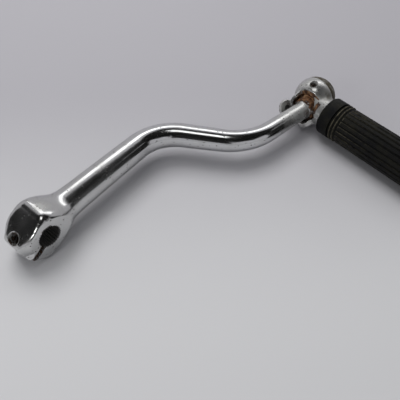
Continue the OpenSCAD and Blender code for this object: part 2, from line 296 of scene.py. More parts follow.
def ease(t):
    t = np.clip(t, 0, 1)
    return t * t * (3 - 2 * t)


def slopeOf(field, points, step):
    rises = [field(*(points + step * e).T) - field(*(points - step * e).T) for e in np.eye(3)]
    return np.stack(rises, 1) / (2 * step)


def crossedCells(values):
    # the cells with corners on both sides, and the middle of the crossings on their edges
    size = np.array(values.shape) - 1
    corners = [(i, j, k) for i in (0, 1) for j in (0, 1) for k in (0, 1)]
    edges = [(corner, axis) for corner in corners for axis in range(3) if not corner[axis]]
    inside = (values < 0).astype(np.int8)
    count = sum(inside[i:i + size[0], j:j + size[1], k:k + size[2]] for i, j, k in corners)
    cells = np.argwhere((count > 0) & (count < 8))
    total = np.zeros((len(cells), 3))
    crossings = np.zeros(len(cells))
    for a, axis in edges:
        b = np.array(a)
        b[axis] = 1
        va, vb = values[tuple((cells + a).T)], values[tuple((cells + b).T)]
        cross = (va < 0) != (vb < 0)
        spot = np.array(a, float)[None, :].repeat(len(cells), 0)
        spot[:, axis] += np.where(cross, va / np.where(cross, va - vb, 1), 0)
        total += spot * cross[:, None]
        crossings += cross
    return cells, total / crossings[:, None]


def quadsAcross(inside, cells):
    # a quad round each grid edge that the surface crosses, from the edge's four cells
    number = -np.ones(np.array(inside.shape) - 1, np.int64)
    number[tuple(cells.T)] = np.arange(len(cells))
    faces = []
    for axis in range(3):
        u, v = [i for i in range(3) if i != axis]
        near = [slice(1, -1)] * 3
        near[axis] = slice(0, -1)
        far = list(near)
        far[axis] = slice(1, None)
        a, b = inside[tuple(near)], inside[tuple(far)]
        spots = np.argwhere(a != b)
        quad = []
        for du, dv in ((0, 0), (1, 0), (1, 1), (0, 1)):
            cell = spots.copy()
            cell[:, u] += du
            cell[:, v] += dv
            quad.append(number[tuple(cell.T)])
        quad = np.stack(quad, 1)
        leaving = a[tuple(spots.T)]
        flip = leaving if axis != 1 else ~leaving
        faces.append(np.where(flip[:, None], quad, quad[:, ::-1]))
    return np.concatenate(faces)


def skinField(field, low, high, cell):
    axes = [np.arange(low[i], high[i] + cell, cell) for i in range(3)]
    grid = axes[0][:, None, None], axes[1][None, :, None], axes[2][None, None, :]
    values = field(*grid).astype(np.float32)
    cells, spots = crossedCells(values)
    points = np.array(low)[None, :] + (cells + spots) * cell
    for _ in range(3):    # onto the true surface
        slope = slopeOf(field, points, 0.02)
        move = field(*points.T)[:, None] * slope / np.maximum((slope ** 2).sum(1), 0.05)[:, None]
        points -= np.clip(move, -0.4 * cell, 0.4 * cell)
    return points, quadsAcross(values < 0, cells)


# meshes: points are given in mm, and objects stay at the origin
def meshObject(name, points, faces, material=None):
    mesh = bpy.data.meshes.new(name)
    mesh.from_pydata((np.asarray(points) * mm).tolist(), [], [list(f) for f in faces])
    mesh.validate()
    if material:
        mesh.materials.append(material)
    return linked(bpy.data.objects.new(name, mesh))


def facedOut(piece):
    book = bmesh.new()
    book.from_mesh(piece.data)
    bmesh.ops.remove_doubles(book, verts=book.verts, dist=1e-7)
    bmesh.ops.recalc_face_normals(book, faces=book.faces)
    book.to_mesh(piece.data)
    book.free()
    return piece


def applyModifiers(piece):
    graph = bpy.context.evaluated_depsgraph_get()
    mesh = bpy.data.meshes.new_from_object(piece.evaluated_get(graph))
    piece.modifiers.clear()
    piece.data = mesh


def cutWith(piece, cutters):
    for cutter in cutters:
        mod = piece.modifiers.new("cut", "BOOLEAN")
        mod.operation = "DIFFERENCE"
        mod.solver = "EXACT"
        mod.object = cutter
    applyModifiers(piece)
    for cutter in cutters:
        bpy.data.objects.remove(cutter)


def pointsOf(piece):
    flat = np.empty(len(piece.data.vertices) * 3, np.float32)
    piece.data.vertices.foreach_get("co", flat)
    return flat.reshape(-1, 3).astype(float) / mm


def setAttribute(piece, name, values):
    layer = piece.data.attributes.new(name, "FLOAT", "POINT")
    layer.data.foreach_set("value", np.ascontiguousarray(values, dtype=np.float32))


def shadeSmooth(piece, angle=32, field=None):
    # where the skin still lies on its field, the field gives the exact normals
    mesh = piece.data
    mesh.shade_smooth()
    mesh.set_sharp_from_angle(angle=math.radians(angle))
    if field is None:
        return
    points = pointsOf(piece)
    onSkin = np.abs(field(*points.T)) < 0.004
    slope = slopeOf(field, points, 0.03)
    slope /= np.maximum(np.linalg.norm(slope, axis=1), 1e-9)[:, None]
    corner = np.empty(len(mesh.loops), np.int64)
    mesh.loops.foreach_get("vertex_index", corner)
    starts = np.empty(len(mesh.polygons), np.int64)
    mesh.polygons.foreach_get("loop_start", starts)
    whole = np.logical_and.reduceat(onSkin[corner], starts)
    flat = np.empty(len(mesh.polygons) * 3, np.float32)
    mesh.polygons.foreach_get("normal", flat)
    sizes = np.diff(np.append(starts, len(corner)))
    facing = np.repeat(flat.reshape(-1, 3), sizes, axis=0)
    normals = slope[corner]
    good = np.repeat(whole, sizes) & ((normals * facing).sum(1) > 0.9)
    normals[~good] = 0
    mesh.normals_split_custom_set(normals.tolist())


def ringFaces(rings, sides, closed=False):
    # quads between rings of points; closed joins the last ring to the first
    return [(k * sides + i, k * sides + (i + 1) % sides,
             (k + 1) % rings * sides + (i + 1) % sides, (k + 1) % rings * sides + i)
            for k in range(rings if closed else rings - 1) for i in range(sides)]


def cappedFaces(rings, sides):
    last = (rings - 1) * sides
    return ringFaces(rings, sides) + [tuple(range(sides))[::-1], tuple(range(last, last + sides))]


def revolved(name, profile, sides, place, wave=None):
    # a turned solid: profile is (along, radius) from end to end, and place maps (x, y, along) to mm
    points = []
    for along, radius in profile:
        for i in range(sides):
            a = 2 * math.pi * i / sides
            r = radius + (wave(along, a) if wave else 0)
            points.append(place(r * math.cos(a), r * math.sin(a), along))
    return facedOut(meshObject(name, points, cappedFaces(len(profile), sides)))


# rules for what repeats: a node group with a named input for each value
def newRule(name, values, takes=None):
    tree = bpy.data.node_groups.new(name, "GeometryNodeTree")
    if takes:
        tree.interface.new_socket(takes, in_out="INPUT", socket_type="NodeSocketGeometry")
    for key, value in values.items():
        kind = "NodeSocketInt" if isinstance(value, int) else "NodeSocketFloat"
        tree.interface.new_socket(key, in_out="INPUT", socket_type=kind).default_value = value
    tree.interface.new_socket("Geometry", in_out="OUTPUT", socket_type="NodeSocketGeometry")
    return tree, add(tree, "NodeGroupInput").outputs


def endRule(tree, geometry, material):
    real = add(tree, "GeometryNodeRealizeInstances", {"Geometry": geometry}).outputs["Geometry"]
    dressed = add(tree, "GeometryNodeSetMaterial", {"Geometry": real, "Material": material})
    add(tree, "NodeGroupOutput", {0: dressed.outputs["Geometry"]})


def applyRule(piece, tree, values):
    mod = piece.modifiers.new("rule", "NODES")
    mod.node_group = tree
    sockets = {item.name: item.identifier for item in tree.interface.items_tree if item.item_type == "SOCKET"}
    for key, value in values.items():
        mod[sockets[key]] = value
    applyModifiers(piece)
    return piece


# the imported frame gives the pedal's hinge and the radii of the mounts
hinge = frame["record"]["behaviour"]["joints"][0]
knee = [round(v / mm, 4) for v in hinge["pos_m"]]
tilt = math.radians(round(math.degrees(math.atan2(-hinge["axis"][1], -hinge["axis"][0])), 3))
mountR = {mount["name"]: mount["dims"]["r_mm"] for mount in frame["record"]["mounts"]}


def toKnuckle(x, y, z):
    dx, dy = x - knee[0], y - knee[1]
    return math.cos(tilt) * dx + math.sin(tilt) * dy, -math.sin(tilt) * dx + math.cos(tilt) * dy, z - knee[2]


def fromKnuckle(x, y, z):
    return (knee[0] + math.cos(tilt) * x - math.sin(tilt) * y,
            knee[1] + math.sin(tilt) * x + math.cos(tilt) * y, z + knee[2])


# kick arm: clamp boss, S-bent arm, shoulder and spigot
arm = {
    "cell": 0.47, "low": (-20.5, -72.5, -20), "high": (219, 13, 17.5),
    "root": (1.4, -2.2), "endBack": 12.4,      # where the bar starts past the serrations, and ends
    "corner1": (104.5, 3.0), "corner2x": 138.3, "bend1": 32.0, "bend2": 40.0,
    "width": (9.2, 8.4, 6.4), "height": (9.4, 8.4, 6.4),     # halves, at the root, the bend and the neck
    "power": (2.2, 2.05, 2.0),                               # 2 is an ellipse, and more is squarer
    "flare": 2.1, "flareLen": 11.0, "bossFillet": 8.0, "filletTo": 40.0, "neckFillet": 2.2,
    "pit": (66.5, -8.3, -2.0), "pitR": 0.55,       # a dark pit in the plate
    "wornAt": (6.5, -4.0, 13.5), "wornR": 7.0,     # rubbed dull where the arm's root meets the boss
    "grimeAndShade": {"bore": 0.88, "tap": 0.6, "slot": 0.35},
    "rust": {"holes": 0.55, "neck": 0.75, "shoulder": 0.25},
    "dull": {"endLeg": 1.35, "worn": 1.5, "rootLeg": 0.5},
}
boss = {
    "middle": 1.65, "halfLen": 12.05, "midR": 15.0, "endR": 10.9, "roundLen": 5.6, "faceEdge": 0.7,
    "slotAngle": 217.0, "slotWidth": 3.7, "slotOut": 22.0,
    "flatOff": 12.2, "lugReach": 18.4, "lugWidth": 14.0, "flankR": 11.8, "lugIn": 0.5, "lugFillet": 1.8,
    "lowFlank": 4.4,      # the near face reaches further out beside the slot
    "boreR": mountR["splined_bore"], "boreMouth": 0.6, "toothDepth": 0.9, "toothFlat": 0.72, "teeth": 28,
    "boltOff": 10.9, "tapR": mountR["pinch_bolt_thread_hole"], "threadDepth": 0.55, "threadPitch": 1.25,
    "clearR": mountR["pinch_bolt_clear_hole"], "seatFaceR": 7.2,
}
armEnd = {
    "face": 10.5, "shoulderLen": 4.6, "shoulderR": 8.2, "spigotR": 5.0, "spigotTip": 9.0,
    "detentR": 2.05, "detentOff": 4.5, "detentFloor": 2.8,   # blind hole for the detent's ball and spring
    "pinOff": 4.6, "grooveDeep": 1.3, "grooveHalf": 2.3, "grooveFrom": 45.0, "grooveTo": 171.0,
}
slotTurn = math.radians(boss["slotAngle"])
slotWay = (math.cos(slotTurn), math.sin(slotTurn))     # out along the slot, in x and z
earWay = (-slotWay[1], slotWay[0])                     # across it, towards the lower ear


def armLegs():
    # the centre line seen from above: leg, bend, leg, bend, leg
    root = np.array([boss["boreR"] + boss["toothDepth"] + arm["root"][0], arm["root"][1]])
    top = np.array(knee[:2])
    end = top - arm["endBack"] * np.array([math.cos(tilt), math.sin(tilt)])
    one = np.array(arm["corner1"])
    two = np.array([arm["corner2x"], top[1] + (top[0] - arm["corner2x"]) * math.tan(-tilt)])
    legs, run = [], 0.0
    start = root

    def straight(a, b):
        nonlocal run
        length = np.linalg.norm(b - a)
        legs.append(("leg", a, (b - a) / length, length, run))
        run += length

    for a, b, c, r in ((root, one, two, arm["bend1"]), (one, two, top, arm["bend2"])):
        back, on = (a - b) / np.linalg.norm(a - b), (c - b) / np.linalg.norm(c - b)
        half = math.acos(-back @ on) / 2
        reach = r * math.tan(half)
        middle = b + (back + on) / np.linalg.norm(back + on) * r / math.cos(half)
        way = math.copysign(1, (b - a)[0] * (c - b)[1] - (b - a)[1] * (c - b)[0])
        straight(start, b + back * reach)
        spoke = b + back * reach - middle
        legs.append(("bend", middle, (r, math.atan2(spoke[1], spoke[0]), way), 2 * half * r, run))
        run += 2 * half * r
        start = b + on * reach
    straight(start, end)
    return legs, run


armRun, armLength = armLegs()
bendRun = armRun[1][4] + armRun[1][3] / 2


def alongArm(x, y):
    # run along the arm, offset to its left, and overshoot past its ends
    px, py = np.broadcast_arrays(np.asarray(x, float), np.asarray(y, float))
    best = np.full(px.shape, 1e9)
    run, side, past = np.zeros(px.shape), np.zeros(px.shape), np.zeros(px.shape)
    for i, (kind, a, way, length, start) in enumerate(armRun):
        dx, dy = px - a[0], py - a[1]
        over = np.zeros(px.shape)
        if kind == "leg":
            t = dx * way[0] + dy * way[1]
            off = way[0] * dy - way[1] * dx
            on = np.clip(t, 0, length)
            gap = np.hypot(t - on, off)
            if i == 0:
                over = -t
            elif i == len(armRun) - 1:
                over = t - length
        else:
            r, first, turn = way
            angle = (np.arctan2(dy, dx) - first) * turn
            t = r * ((angle + math.pi / 2) % (2 * math.pi) - math.pi / 2)
            on = np.clip(t, 0, length)
            off = (r - np.hypot(dx, dy)) * turn
            gap = np.where(t == on, np.abs(off), 1e8)
        better = gap < best
        best = np.where(better, gap, best)
        run = np.where(better, start + on, run)
        side = np.where(better, off, side)
        past = np.where(better, np.maximum(over, 0), past)
    return run, side, past


def taper(sizes, s):
    start, middle, end = sizes
    on = ease((s - bendRun) / (armLength - bendRun))
    return np.where(s < bendRun, start + (middle - start) * s / bendRun, middle + (end - middle) * on)


def barField(x, y, z):
    # a superellipse swept along the centre line; the distance is true to first order
    s, side, past = alongArm(x, y)
    halfW = taper(arm["width"], s) + arm["flare"] * np.exp(-(s / arm["flareLen"]) ** 2)
    halfH = taper(arm["height"], s)
    power = taper(arm["power"], s)
    rise = z - knee[2] * ease(s / armLength)
    u, v = np.abs(side) / halfW, np.abs(rise) / halfH
    ring = (u ** power + v ** power + 1e-9) ** (1 / power)
    steep = np.sqrt((u ** (power - 1) / halfW) ** 2 + (v ** (power - 1) / halfH) ** 2)
    gap = (ring - 1) / (steep * ring ** (1 - power) + 1e-6)
    return np.where(past > 0, np.maximum(gap, past), gap)


def bossField(x, y, z):
    b = np.abs(y + boss["middle"])
    r = np.hypot(x, z)
    drop = boss["midR"] - boss["endR"]
    arc = (boss["roundLen"] ** 2 + drop ** 2) / (2 * drop)
    dr, db = r - (boss["midR"] - arc), b - (boss["halfLen"] - boss["roundLen"])
    barrel = np.hypot(np.maximum(dr, 0), np.maximum(db, 0)) + np.minimum(np.maximum(dr, db), 0) - arc
    barrel = softMax(barrel, b - boss["halfLen"], boss["faceEdge"])
    q = x * slotWay[0] + z * slotWay[1]
    p = x * earWay[0] + z * earWay[1]
    side = boss["halfLen"] - boss["lugIn"]
    run = np.array([boss["lugReach"] - boss["flankR"], boss["lugWidth"] / 2 - side])
    out = np.array([-run[1], run[0]]) / np.hypot(*run)
    lug = (r - boss["flankR"] - boss["lowFlank"] * ease((p + 4) / 2.5)) * out[0] + (b - side) * out[1]
    for end, soft in ((r - boss["lugReach"], 1.0), (b - side, 0.6), (-q, 1.0), (p - boss["flatOff"], 0.8)):
        lug = softMax(lug, end, soft)
    return softMax(softMin(barrel, lug, boss["lugFillet"]), -p - boss["flatOff"], 2.2)


def armField(x, y, z):
    body = softMin(bossField(x, y, z), barField(x, y, z), arm["bossFillet"])
    faces = np.abs(y + boss["middle"]) - boss["halfLen"] - 99 * (x > arm["filletTo"])
    body = softMax(body, faces, boss["faceEdge"])     # the fillet ends at the boss's faces
    kx, ky, kz = toKnuckle(x, y, z)
    r = np.hypot(ky, kz)
    half = armEnd["shoulderLen"] / 2
    shoulder = softMax(r - armEnd["shoulderR"], np.abs(kx + armEnd["face"] + half) - half, 0.5)
    spigot = softMax(r - armEnd["spigotR"], np.abs(kx) - armEnd["spigotTip"], 0.4)
    return np.minimum(softMin(body, shoulder, arm["neckFillet"]), spigot)


def ringCutter(name, stations):
    # swept round the spigot: each station is (degrees from below, [(along, radius), ...])
    points = []
    for degrees, outline in stations:
        a = math.radians(degrees)
        points += [fromKnuckle(along, r * math.sin(a), -r * math.cos(a)) for along, r in outline]
    rings, sides = len(stations), len(stations[0][1])
    caps = [tuple(range(sides)), tuple(range((rings - 1) * sides, rings * sides))]
    return facedOut(meshObject(name, points, ringFaces(rings, sides) + caps))


def onBore(x, z, along):
    return x, -boss["middle"] - along, z


def onBolt(u, v, w):     # u along the slot, v along the bore, w towards the lower ear
    q = boss["boltOff"] + u
    return q * slotWay[0] + w * earWay[0], -boss["middle"] - v, q * slotWay[1] + w * earWay[1]


def serrationCutter():
    # the serrations repeat round the bore: a tooth is set on every point of a circle
    values = {"Teeth": boss["teeth"], "Bore Radius": boss["boreR"] * mm,
              "Tooth Depth": boss["toothDepth"] * mm, "Length": 30 * mm}
    tree, given = newRule("boreSerrations", values)
    ring = add(tree, "GeometryNodeMeshCircle", {"Vertices": given["Teeth"], "Radius": given["Bore Radius"]})
    tooth = add(tree, "GeometryNodeMeshCylinder", {"Vertices": 4, "Side Segments": 12,
                                                   "Radius": given["Tooth Depth"], "Depth": given["Length"]})
    stretch = add(tree, "ShaderNodeCombineXYZ", {0: 1.0, 1: boss["toothFlat"], 2: 1.0}).outputs[0]
    shaped = add(tree, "GeometryNodeTransform", {"Geometry": tooth.outputs["Mesh"], "Scale": stretch})
    spot = add(tree, "GeometryNodeInputPosition").outputs[0]
    turn = add(tree, "FunctionNodeAlignEulerToVector", {"Vector": spot}, axis="X").outputs["Rotation"]
    teeth = add(tree, "GeometryNodeInstanceOnPoints", {"Points": ring.outputs["Mesh"], "Rotation": turn,
                                                       "Instance": shaped.outputs["Geometry"]})
    endRule(tree, teeth.outputs["Instances"], wornChrome)
    piece = applyRule(meshObject("serrationCutter", [], []), tree, values)
    for v in piece.data.vertices:
        v.co = Vector(onBore(*(v.co / mm))) * mm
    return facedOut(piece)


def threadWave(along, angle):
    share = (along / boss["threadPitch"] - angle / (2 * math.pi)) % 1
    fade = min(max((-along - 1.0) / 1.5, 0), 1)     # the thread runs out near the slot
    return boss["threadDepth"] * (1 - abs(2 * share - 1)) * fade


def armCutters():
    boreR, tapR, clearR = boss["boreR"], boss["tapR"], boss["clearR"]
    end, flat, half = boss["halfLen"], boss["flatOff"], boss["slotWidth"] / 2
    outward = [(end + 2, boreR + boss["boreMouth"]), (end - 0.35, boreR), (end - 2, boreR)]
    bore = revolved("boreCutter", [(-along, r) for along, r in outward] + outward[::-1], 112, onBore)
    corners = [onBolt(q - boss["boltOff"], side, w) for side in (15, -15)
               for q, w in ((0, -half), (boss["slotOut"], -half), (boss["slotOut"], half), (0, half))]
    slot = facedOut(meshObject("slotCutter", corners, cappedFaces(2, 4)))
    mouth = [(-flat - 3, tapR + 3.9), (-flat + 0.69, tapR + 0.45)]
    steps = [(along, tapR) for along in np.linspace(-flat + 0.7, -0.2, 90)]
    tap = revolved("tapCutter", mouth + steps, 48, onBolt, threadWave)
    clear = revolved("clearCutter", [(0.2, clearR), (flat, clearR), (flat + 0.01, boss["seatFaceR"]),
                                     (flat + 9, boss["seatFaceR"])], 48, onBolt)
    ballR = armEnd["detentR"]
    detent = revolved("detentCutter", [(-7, ballR), (armEnd["detentFloor"], ballR)], 32,
                      lambda u, v, w: fromKnuckle(armEnd["detentOff"] + u, v, w))
    low, high = armEnd["spigotR"] - armEnd["grooveDeep"], armEnd["spigotR"] + 0.8
    near, far = -armEnd["pinOff"] - armEnd["grooveHalf"], -armEnd["pinOff"] + armEnd["grooveHalf"]
    outline = [(near, low), (far, low), (far, high), (near, high)]
    turns = np.linspace(armEnd["grooveFrom"], armEnd["grooveTo"], 25)
    track = ringCutter("grooveCutter", [(turn, outline) for turn in turns])
    return [bore, serrationCutter(), slot, tap, clear, detent, track]


def paintArm(piece):
    p = pointsOf(piece)
    along = np.abs(p[:, 1] + boss["middle"])
    q = p[:, 0] * slotWay[0] + p[:, 2] * slotWay[1]
    w = np.abs(p[:, 0] * earWay[0] + p[:, 2] * earWay[1])
    rootR = boss["boreR"] + boss["toothDepth"]
    inBore = (np.hypot(p[:, 0], p[:, 2]) < rootR + 0.35) & (along < boss["halfLen"] - 0.2)
    inSlot = (q > 5) & (w < boss["slotWidth"] / 2 + 0.05)
    inTap = np.hypot(q - boss["boltOff"], along) < boss["tapR"] + boss["threadDepth"] + 0.1
    inTap &= w < boss["flatOff"] - 0.5

    def near(spot, radius):
        return np.exp(-((p - np.array(spot)) ** 2).sum(1) / radius ** 2)

    grimeAndShade, rust, dull = arm["grimeAndShade"], arm["rust"], arm["dull"]
    darkShare = np.where(inTap, grimeAndShade["tap"], np.where(inSlot, grimeAndShade["slot"], 0.0))
    darkShare = np.where(inBore, grimeAndShade["bore"], darkShare)
    setAttribute(piece, "grimeAndShade", np.maximum(darkShare, near(arm["pit"], arm["pitR"])))
    kx = toKnuckle(*p.T)[0]
    rusty = ease((kx + 17.0) / 2.0) * rust["neck"] + rust["shoulder"] * ease((kx + 11.2) / 0.6)
    setAttribute(piece, "rust", np.where(inSlot | inTap, rust["holes"], rusty))
    endLeg, rootLeg = dull["endLeg"] * ease((kx + 55) / 25), dull["rootLeg"] * ease((100 - p[:, 0]) / 30)
    worn = dull["worn"] * near(arm["wornAt"], arm["wornR"])
    setAttribute(piece, "dull", np.maximum(np.maximum(endLeg, worn), rootLeg))


def buildArm():
    points, faces = skinField(armField, arm["low"], arm["high"], arm["cell"])
    piece = meshObject("kickArm", points, faces, wornChrome)
    say("arm skin, %d quads" % len(faces))
    cutWith(piece, armCutters())
    say("arm cuts")
    paintArm(piece)
    shadeSmooth(piece, 32, armField)
    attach(piece, "arm")
    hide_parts("kick_arm")
    return piece


kickArm = buildArm()

# pedal: ball knuckle with its skirt and ears, seat, rod and head
knuckle = {
    "cell": 0.36, "low": (168, -167, -20), "high": (226, -40, 18),
    "ballR": 14.8, "ballIn": 2.9, "ballUp": 1.8, "face": 9.0,
    "skirtInner": 10.2, "skirtRoot": 14.0, "skirtTip": 12.4, "skirtEnd": 16.0, "skirtMost": 15.0,
    "skirtMiddle": 40.0, "skirtHalf": 95.0, "skirtEdge": 0.7,
    "lip": {"turn": -24.0, "reach": 20.5, "width": 15.0, "thick": 1.5},
    "ear": {"turn": 60.0, "offset": 3.2, "at": -20.3, "radius": 6.3, "near": 10.3, "thick": 2.8, "neck": 4.6,
            "eyeR": 2.5, "eyeDeep": 1.8},
    "pinOff": 4.6, "pinHoleR": 2.15, "boreR": 5.05, "detentOff": 4.5, "detentMid": 4.0, "detentR": 2.05,
    "bandFrom": 2.9, "bandWide": 0.6, "bandDeep": 0.3,   # a shallow groove, past which the plate is tarnished
    "pedalOff": 6.0, "rodR": 6.8, "seatR": 10.6, "seatEnd": 15.3, "headR": 8.8, "headLen": 4.0, "reach": 96.4,
    "stain": (-2.2, -9.0, 10.5), "stainR": 5.2, "stainTarnish": 0.85,
    # the ear's eye gets painted shade: a dark colour for the shadow inside it
    "recessRust": 0.9, "seatRust": 0.72, "holeGrime": 0.9, "eyeShade": 0.85, "dull": 1.12,
}
earTurn = math.radians(knuckle["ear"]["turn"])


def sideways(ky, kz, turn):
    # across and outward of a strip that lies along the arm, turn radians from below
    return ky * math.cos(turn) + kz * math.sin(turn), ky * math.sin(turn) - kz * math.cos(turn)


def skirtWall(kx):
    slope = (knuckle["skirtRoot"] - knuckle["skirtTip"]) / (knuckle["skirtEnd"] - 5)
    return np.clip(knuckle["skirtRoot"] + (kx + 5) * slope, knuckle["skirtTip"], knuckle["skirtMost"])


def skirtField(kx, ky, kz):
    r = np.hypot(ky, kz)
    angle = np.degrees(np.arctan2(ky, -kz))
    off = np.abs((angle - knuckle["skirtMiddle"] + 180) % 360 - 180) - knuckle["skirtHalf"]
    body = knuckle["skirtInner"] - r
    for end in (r - skirtWall(kx), -kx - knuckle["skirtEnd"], kx - 2, np.radians(off) * r):
        body = softMax(body, end, knuckle["skirtEdge"])
    return body


def earField(kx, ky, kz):
    # a flat tab beside the arm, round at its end
    ear = knuckle["ear"]
    across, outward = sideways(ky, kz, earTurn)
    across = across - ear["offset"]
    disc = np.hypot(kx - ear["at"], across) - ear["radius"]
    neck = np.maximum(np.maximum(np.abs(across + 1) - ear["neck"], ear["at"] - kx), kx + 5)
    body = np.maximum(ear["near"] - outward, outward - ear["near"] - ear["thick"])
    return softMax(softMin(disc, neck, 2.0), body, 0.9)


def lipField(kx, ky, kz):
    # the skirt's own wall, drawn out to a round tip and thicker past the arm's shoulder
    lip = knuckle["lip"]
    across, outward = sideways(ky, kz, math.radians(lip["turn"]))
    r = np.hypot(ky, kz)
    strip = np.hypot(np.maximum(-lip["reach"] + lip["width"] / 2 - kx, 0), across) - lip["width"] / 2
    inner = knuckle["skirtInner"] - lip["thick"] * ease((-kx - 15.4) / 1.5)
    body = softMax(softMax(inner - r, r - skirtWall(kx), 0.9), strip, 1.1)
    return softMax(softMax(body, kx + 5, 0.7), 3 - outward, 0.7)


def pedalField(x, y, z):
    kx, ky, kz = toKnuckle(x, y, z)
    ball = np.sqrt(kx ** 2 + (ky - knuckle["ballIn"]) ** 2 + (kz - knuckle["ballUp"]) ** 2) - knuckle["ballR"]
    ball = ball + knuckle["bandDeep"] * np.exp(-((kx - knuckle["bandFrom"]) / knuckle["bandWide"]) ** 2)
    ball = softMax(ball, -kx - knuckle["face"], 0.8)
    for part, fillet in ((skirtField, 1.6), (lipField, 1.2), (earField, 1.2)):
        ball = softMin(ball, part(kx, ky, kz), fillet)
    out, reach = -ky, knuckle["reach"]
    r = np.hypot(kx + knuckle["pedalOff"], kz)
    seat = softMax(softMax(r - knuckle["seatR"], out - knuckle["seatEnd"], 0.6), -out, 0.6)
    recess = np.where(kx < -knuckle["face"], knuckle["skirtInner"] - np.hypot(ky, kz), -99)
    ball = softMin(ball, softMax(seat, recess, 0.01), 1.8)     # the arm's recess is bored through the seat
    rod = softMax(softMax(r - knuckle["rodR"], out - reach, 0.4), 10 - out, 0.4)
    head = softMax(softMax(r - knuckle["headR"], out - reach, 0.4), reach - knuckle["headLen"] - out, 0.4)
    return softMin(softMin(ball, rod, 1.0), head, 0.3)


def pedalCutters():
    face, boreR, pinR, ear = knuckle["face"], knuckle["boreR"], knuckle["pinHoleR"], knuckle["ear"]
    bore = revolved("spigotCutter", [(-face - 3, boreR + 3.3), (-face + 0.3, boreR), (9.3, boreR)], 64,
                    lambda u, v, w: fromKnuckle(w, u, v))
    top = knuckle["ballUp"] + math.sqrt(knuckle["ballR"] ** 2 - knuckle["pinOff"] ** 2)
    pin = revolved("pinCutter", [(0, pinR), (top - 0.9, pinR), (top + 1.5, pinR + 2.0)], 48,
                   lambda u, v, w: fromKnuckle(u - knuckle["pinOff"], knuckle["ballIn"] + v, w))

    def onEar(u, v, w):     # sideways is its own inverse
        return fromKnuckle(ear["at"] + u, *sideways(v + ear["offset"], w, earTurn))

    eye = revolved("eyeCutter", [(6, ear["eyeR"]), (ear["near"] + ear["eyeDeep"], ear["eyeR"])], 40, onEar)
    stations = []
    for turn in (*np.linspace(-29, 0, 8), *np.linspace(6, 84, 14), *np.linspace(90, 119, 8)):
        past = math.radians(max(-turn, turn - 90, 0))     # a round end past each of the two seats
        reach, sink = knuckle["detentMid"] * math.cos(past), knuckle["detentMid"] * math.sin(past)
        tube = math.sqrt(max(knuckle["detentR"] ** 2 - sink ** 2, 0.01))
        stations.append((turn, [(knuckle["detentOff"] + tube * math.cos(b), reach + tube * math.sin(b))
                                for b in np.linspace(0, 2 * math.pi, 24, endpoint=False)]))
    return [bore, pin, eye, ringCutter("trackCutter", stations)]


def paintPedal(piece):
    kx, ky, kz = toKnuckle(*pointsOf(piece).T)
    r = np.hypot(ky, kz)
    face, ear = knuckle["face"], knuckle["ear"]
    around = np.degrees(np.arctan2(ky, -kz))     # 0 below, 90 inboard
    deep = 12.4 + 3.2 * ease((around - 25) / 30)
    wall = ease((knuckle["skirtInner"] + 0.9 - r) / 0.7)
    wall = wall * ease((-kx - face + 1.2) / 0.8) * ease((kx + deep) / 1.6)
    mouth = ease((-kx - face + 0.5) / 0.3) * ease((kx + face + 0.7) / 0.3)
    mouth = mouth * ease((12.9 - r) / 0.8) * ease((ky + 9.5) / 1.5)
    seeping = ease((-ky - 7.0) / 1.5) * ease((ky + 12.2) / 2.2)     # rust run out over the seat
    seeping = seeping * ease((-kx - 9.4) / 1.6) * ease((kz + 4) / 4)
    rusty = np.maximum(knuckle["recessRust"] * np.maximum(wall, mouth), knuckle["seatRust"] * seeping)
    setAttribute(piece, "rust", np.clip(rusty, 0, 1))
    hole = np.hypot(kx + knuckle["pinOff"], ky - knuckle["ballIn"])
    inHole = (hole < knuckle["pinHoleR"] + 0.65) & (kz > 0) | (r < knuckle["boreR"] + 0.2)
    across, outward = sideways(ky, kz, earTurn)
    inEye = np.hypot(kx - ear["at"], across - ear["offset"]) < ear["eyeR"] + 0.12
    inEye &= (outward > 9) & (outward < ear["near"] + ear["eyeDeep"] + 0.1)
    # the holes get grime; the ear's eye gets painted shade for the shadow inside it
    darkShare = np.where(inHole, knuckle["holeGrime"], np.where(inEye, knuckle["eyeShade"], 0.0))
    setAttribute(piece, "grimeAndShade", darkShare)
    cap = ease((kx - knuckle["bandFrom"] + 0.4) / 0.6) * ease((ky + 12.5) / 1.5)
    far = sum((a - b) ** 2 for a, b in zip((kx, ky, kz), knuckle["stain"]))
    stained = knuckle["stainTarnish"] * np.exp(-far / knuckle["stainR"] ** 2)
    setAttribute(piece, "tarnish", np.maximum(cap, stained))
    setAttribute(piece, "dull", knuckle["dull"] * ease((22 + ky) / 3.0))


def buildPedal():
    points, faces = skinField(pedalField, knuckle["low"], knuckle["high"], knuckle["cell"])
    piece = meshObject("pedalForging", points, faces, wornChrome)
    say("pedal skin, %d quads" % len(faces))
    cutWith(piece, pedalCutters())
    say("pedal cuts")
    paintPedal(piece)
    shadeSmooth(piece, 32, pedalField)
    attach(piece, "pedal")
    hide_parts("pedal")
    return piece


pedalForging = buildPedal()

# rubber grip: ribs by a rule round the sleeve
grip = {
    "start": 15.4, "length": 86.0, "collarR": 13.7, "collarLen": 9.5, "endRound": 1.5, "inner": 6.9,
    "flangeR": 15.0, "flangeLen": 5.0, "headR": 8.9, "headLen": 4.1,
    "ribs": 22, "ribTop": 13.2, "ribDeep": 1.0, "ribShare": 0.62, "ribSoft": 0.13,
    "ribFrom": 6.4, "ribFade": 1.2, "ribInside": (10.0, 11.0),
    "ridges": ((11.6, 0.5), (14.2, 0.4)), "ridgeWide": 0.55,     # place and height past the ribs' tops
    "dust": {"ridge": 1.3, "edge": 0.95, "rib": 0.06, "least": 0.22, "fadeFrom": 18.0, "fadeTo": 46.0},
    "sides": 528,
}


